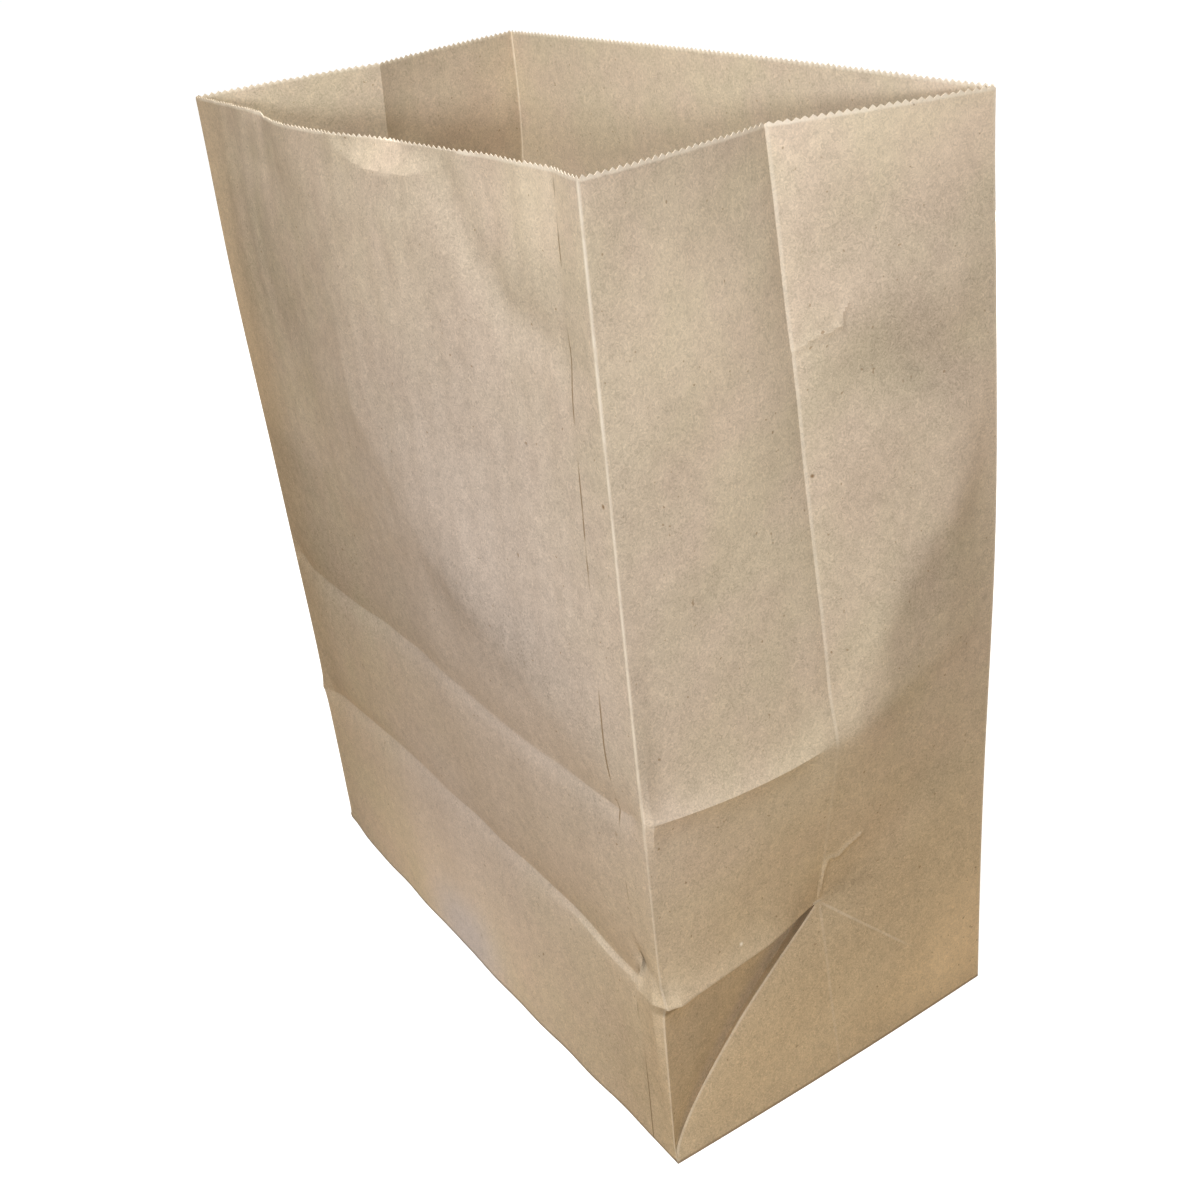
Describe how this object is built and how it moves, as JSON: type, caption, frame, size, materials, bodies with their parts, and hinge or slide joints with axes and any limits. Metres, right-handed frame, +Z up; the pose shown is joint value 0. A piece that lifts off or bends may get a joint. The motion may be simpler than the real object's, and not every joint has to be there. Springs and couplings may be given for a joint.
{
  "type": "paper sack",
  "caption": "Open flat-bottomed sack of brown kraft paper with gusseted sides, cross creases and a sawtooth-cut mouth, standing on its base to be filled from above.",
  "frame": {"origin": "middle of the base, on the ground", "axes": "+Z up out of the mouth, X along the wide panels, -Y out of the creased front panel that carries the lap seam"},
  "size_m": [0.344, 0.184, 0.414],
  "materials": {
    "kraft_paper": "matt unbleached kraft with a fine fibre mottle"
  },
  "bodies": {
    "root": {"paper_bag": "kraft_paper"}
  },
  "joints": []
}
